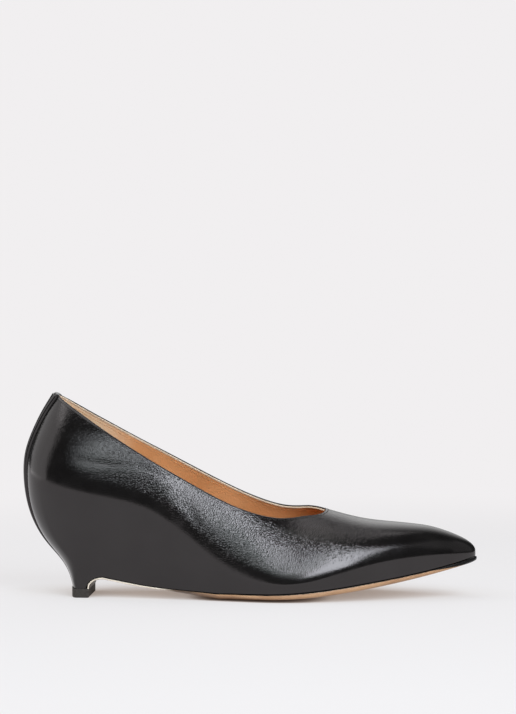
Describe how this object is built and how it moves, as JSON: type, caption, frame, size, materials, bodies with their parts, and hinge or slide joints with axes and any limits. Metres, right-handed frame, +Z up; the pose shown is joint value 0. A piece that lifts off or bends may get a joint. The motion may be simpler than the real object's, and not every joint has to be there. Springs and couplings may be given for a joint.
{
  "type": "wedge pump",
  "caption": "Pointed slip-on leather pump for the right foot, its upper carried down over a curved wedge that ends in a small carved foot.",
  "frame": {"origin": "on the floor, under the middle of the shoe's bounding box", "axes": "+X towards the toe along the shoe, +Y towards the inner (medial) side, +Z up"},
  "size_m": [0.2524, 0.0795, 0.1125],
  "materials": {
    "upper_leather": "glossy black leather with a fine wrinkled grain",
    "strip_leather": "glossy black leather strip",
    "sole_leather": "tan sole leather, its edge dyed black at the toe",
    "sock_leather": "smooth tan sock leather",
    "wedge_core": "moulded core, hidden by the leather",
    "lift_rubber": "matt black lift"
  },
  "bodies": {
    "root": {"upper": "upper_leather", "back_strip": "strip_leather", "outsole": "sole_leather", "insole": "sock_leather", "heel_wedge": "wedge_core", "top_piece": "lift_rubber"}
  },
  "joints": []
}
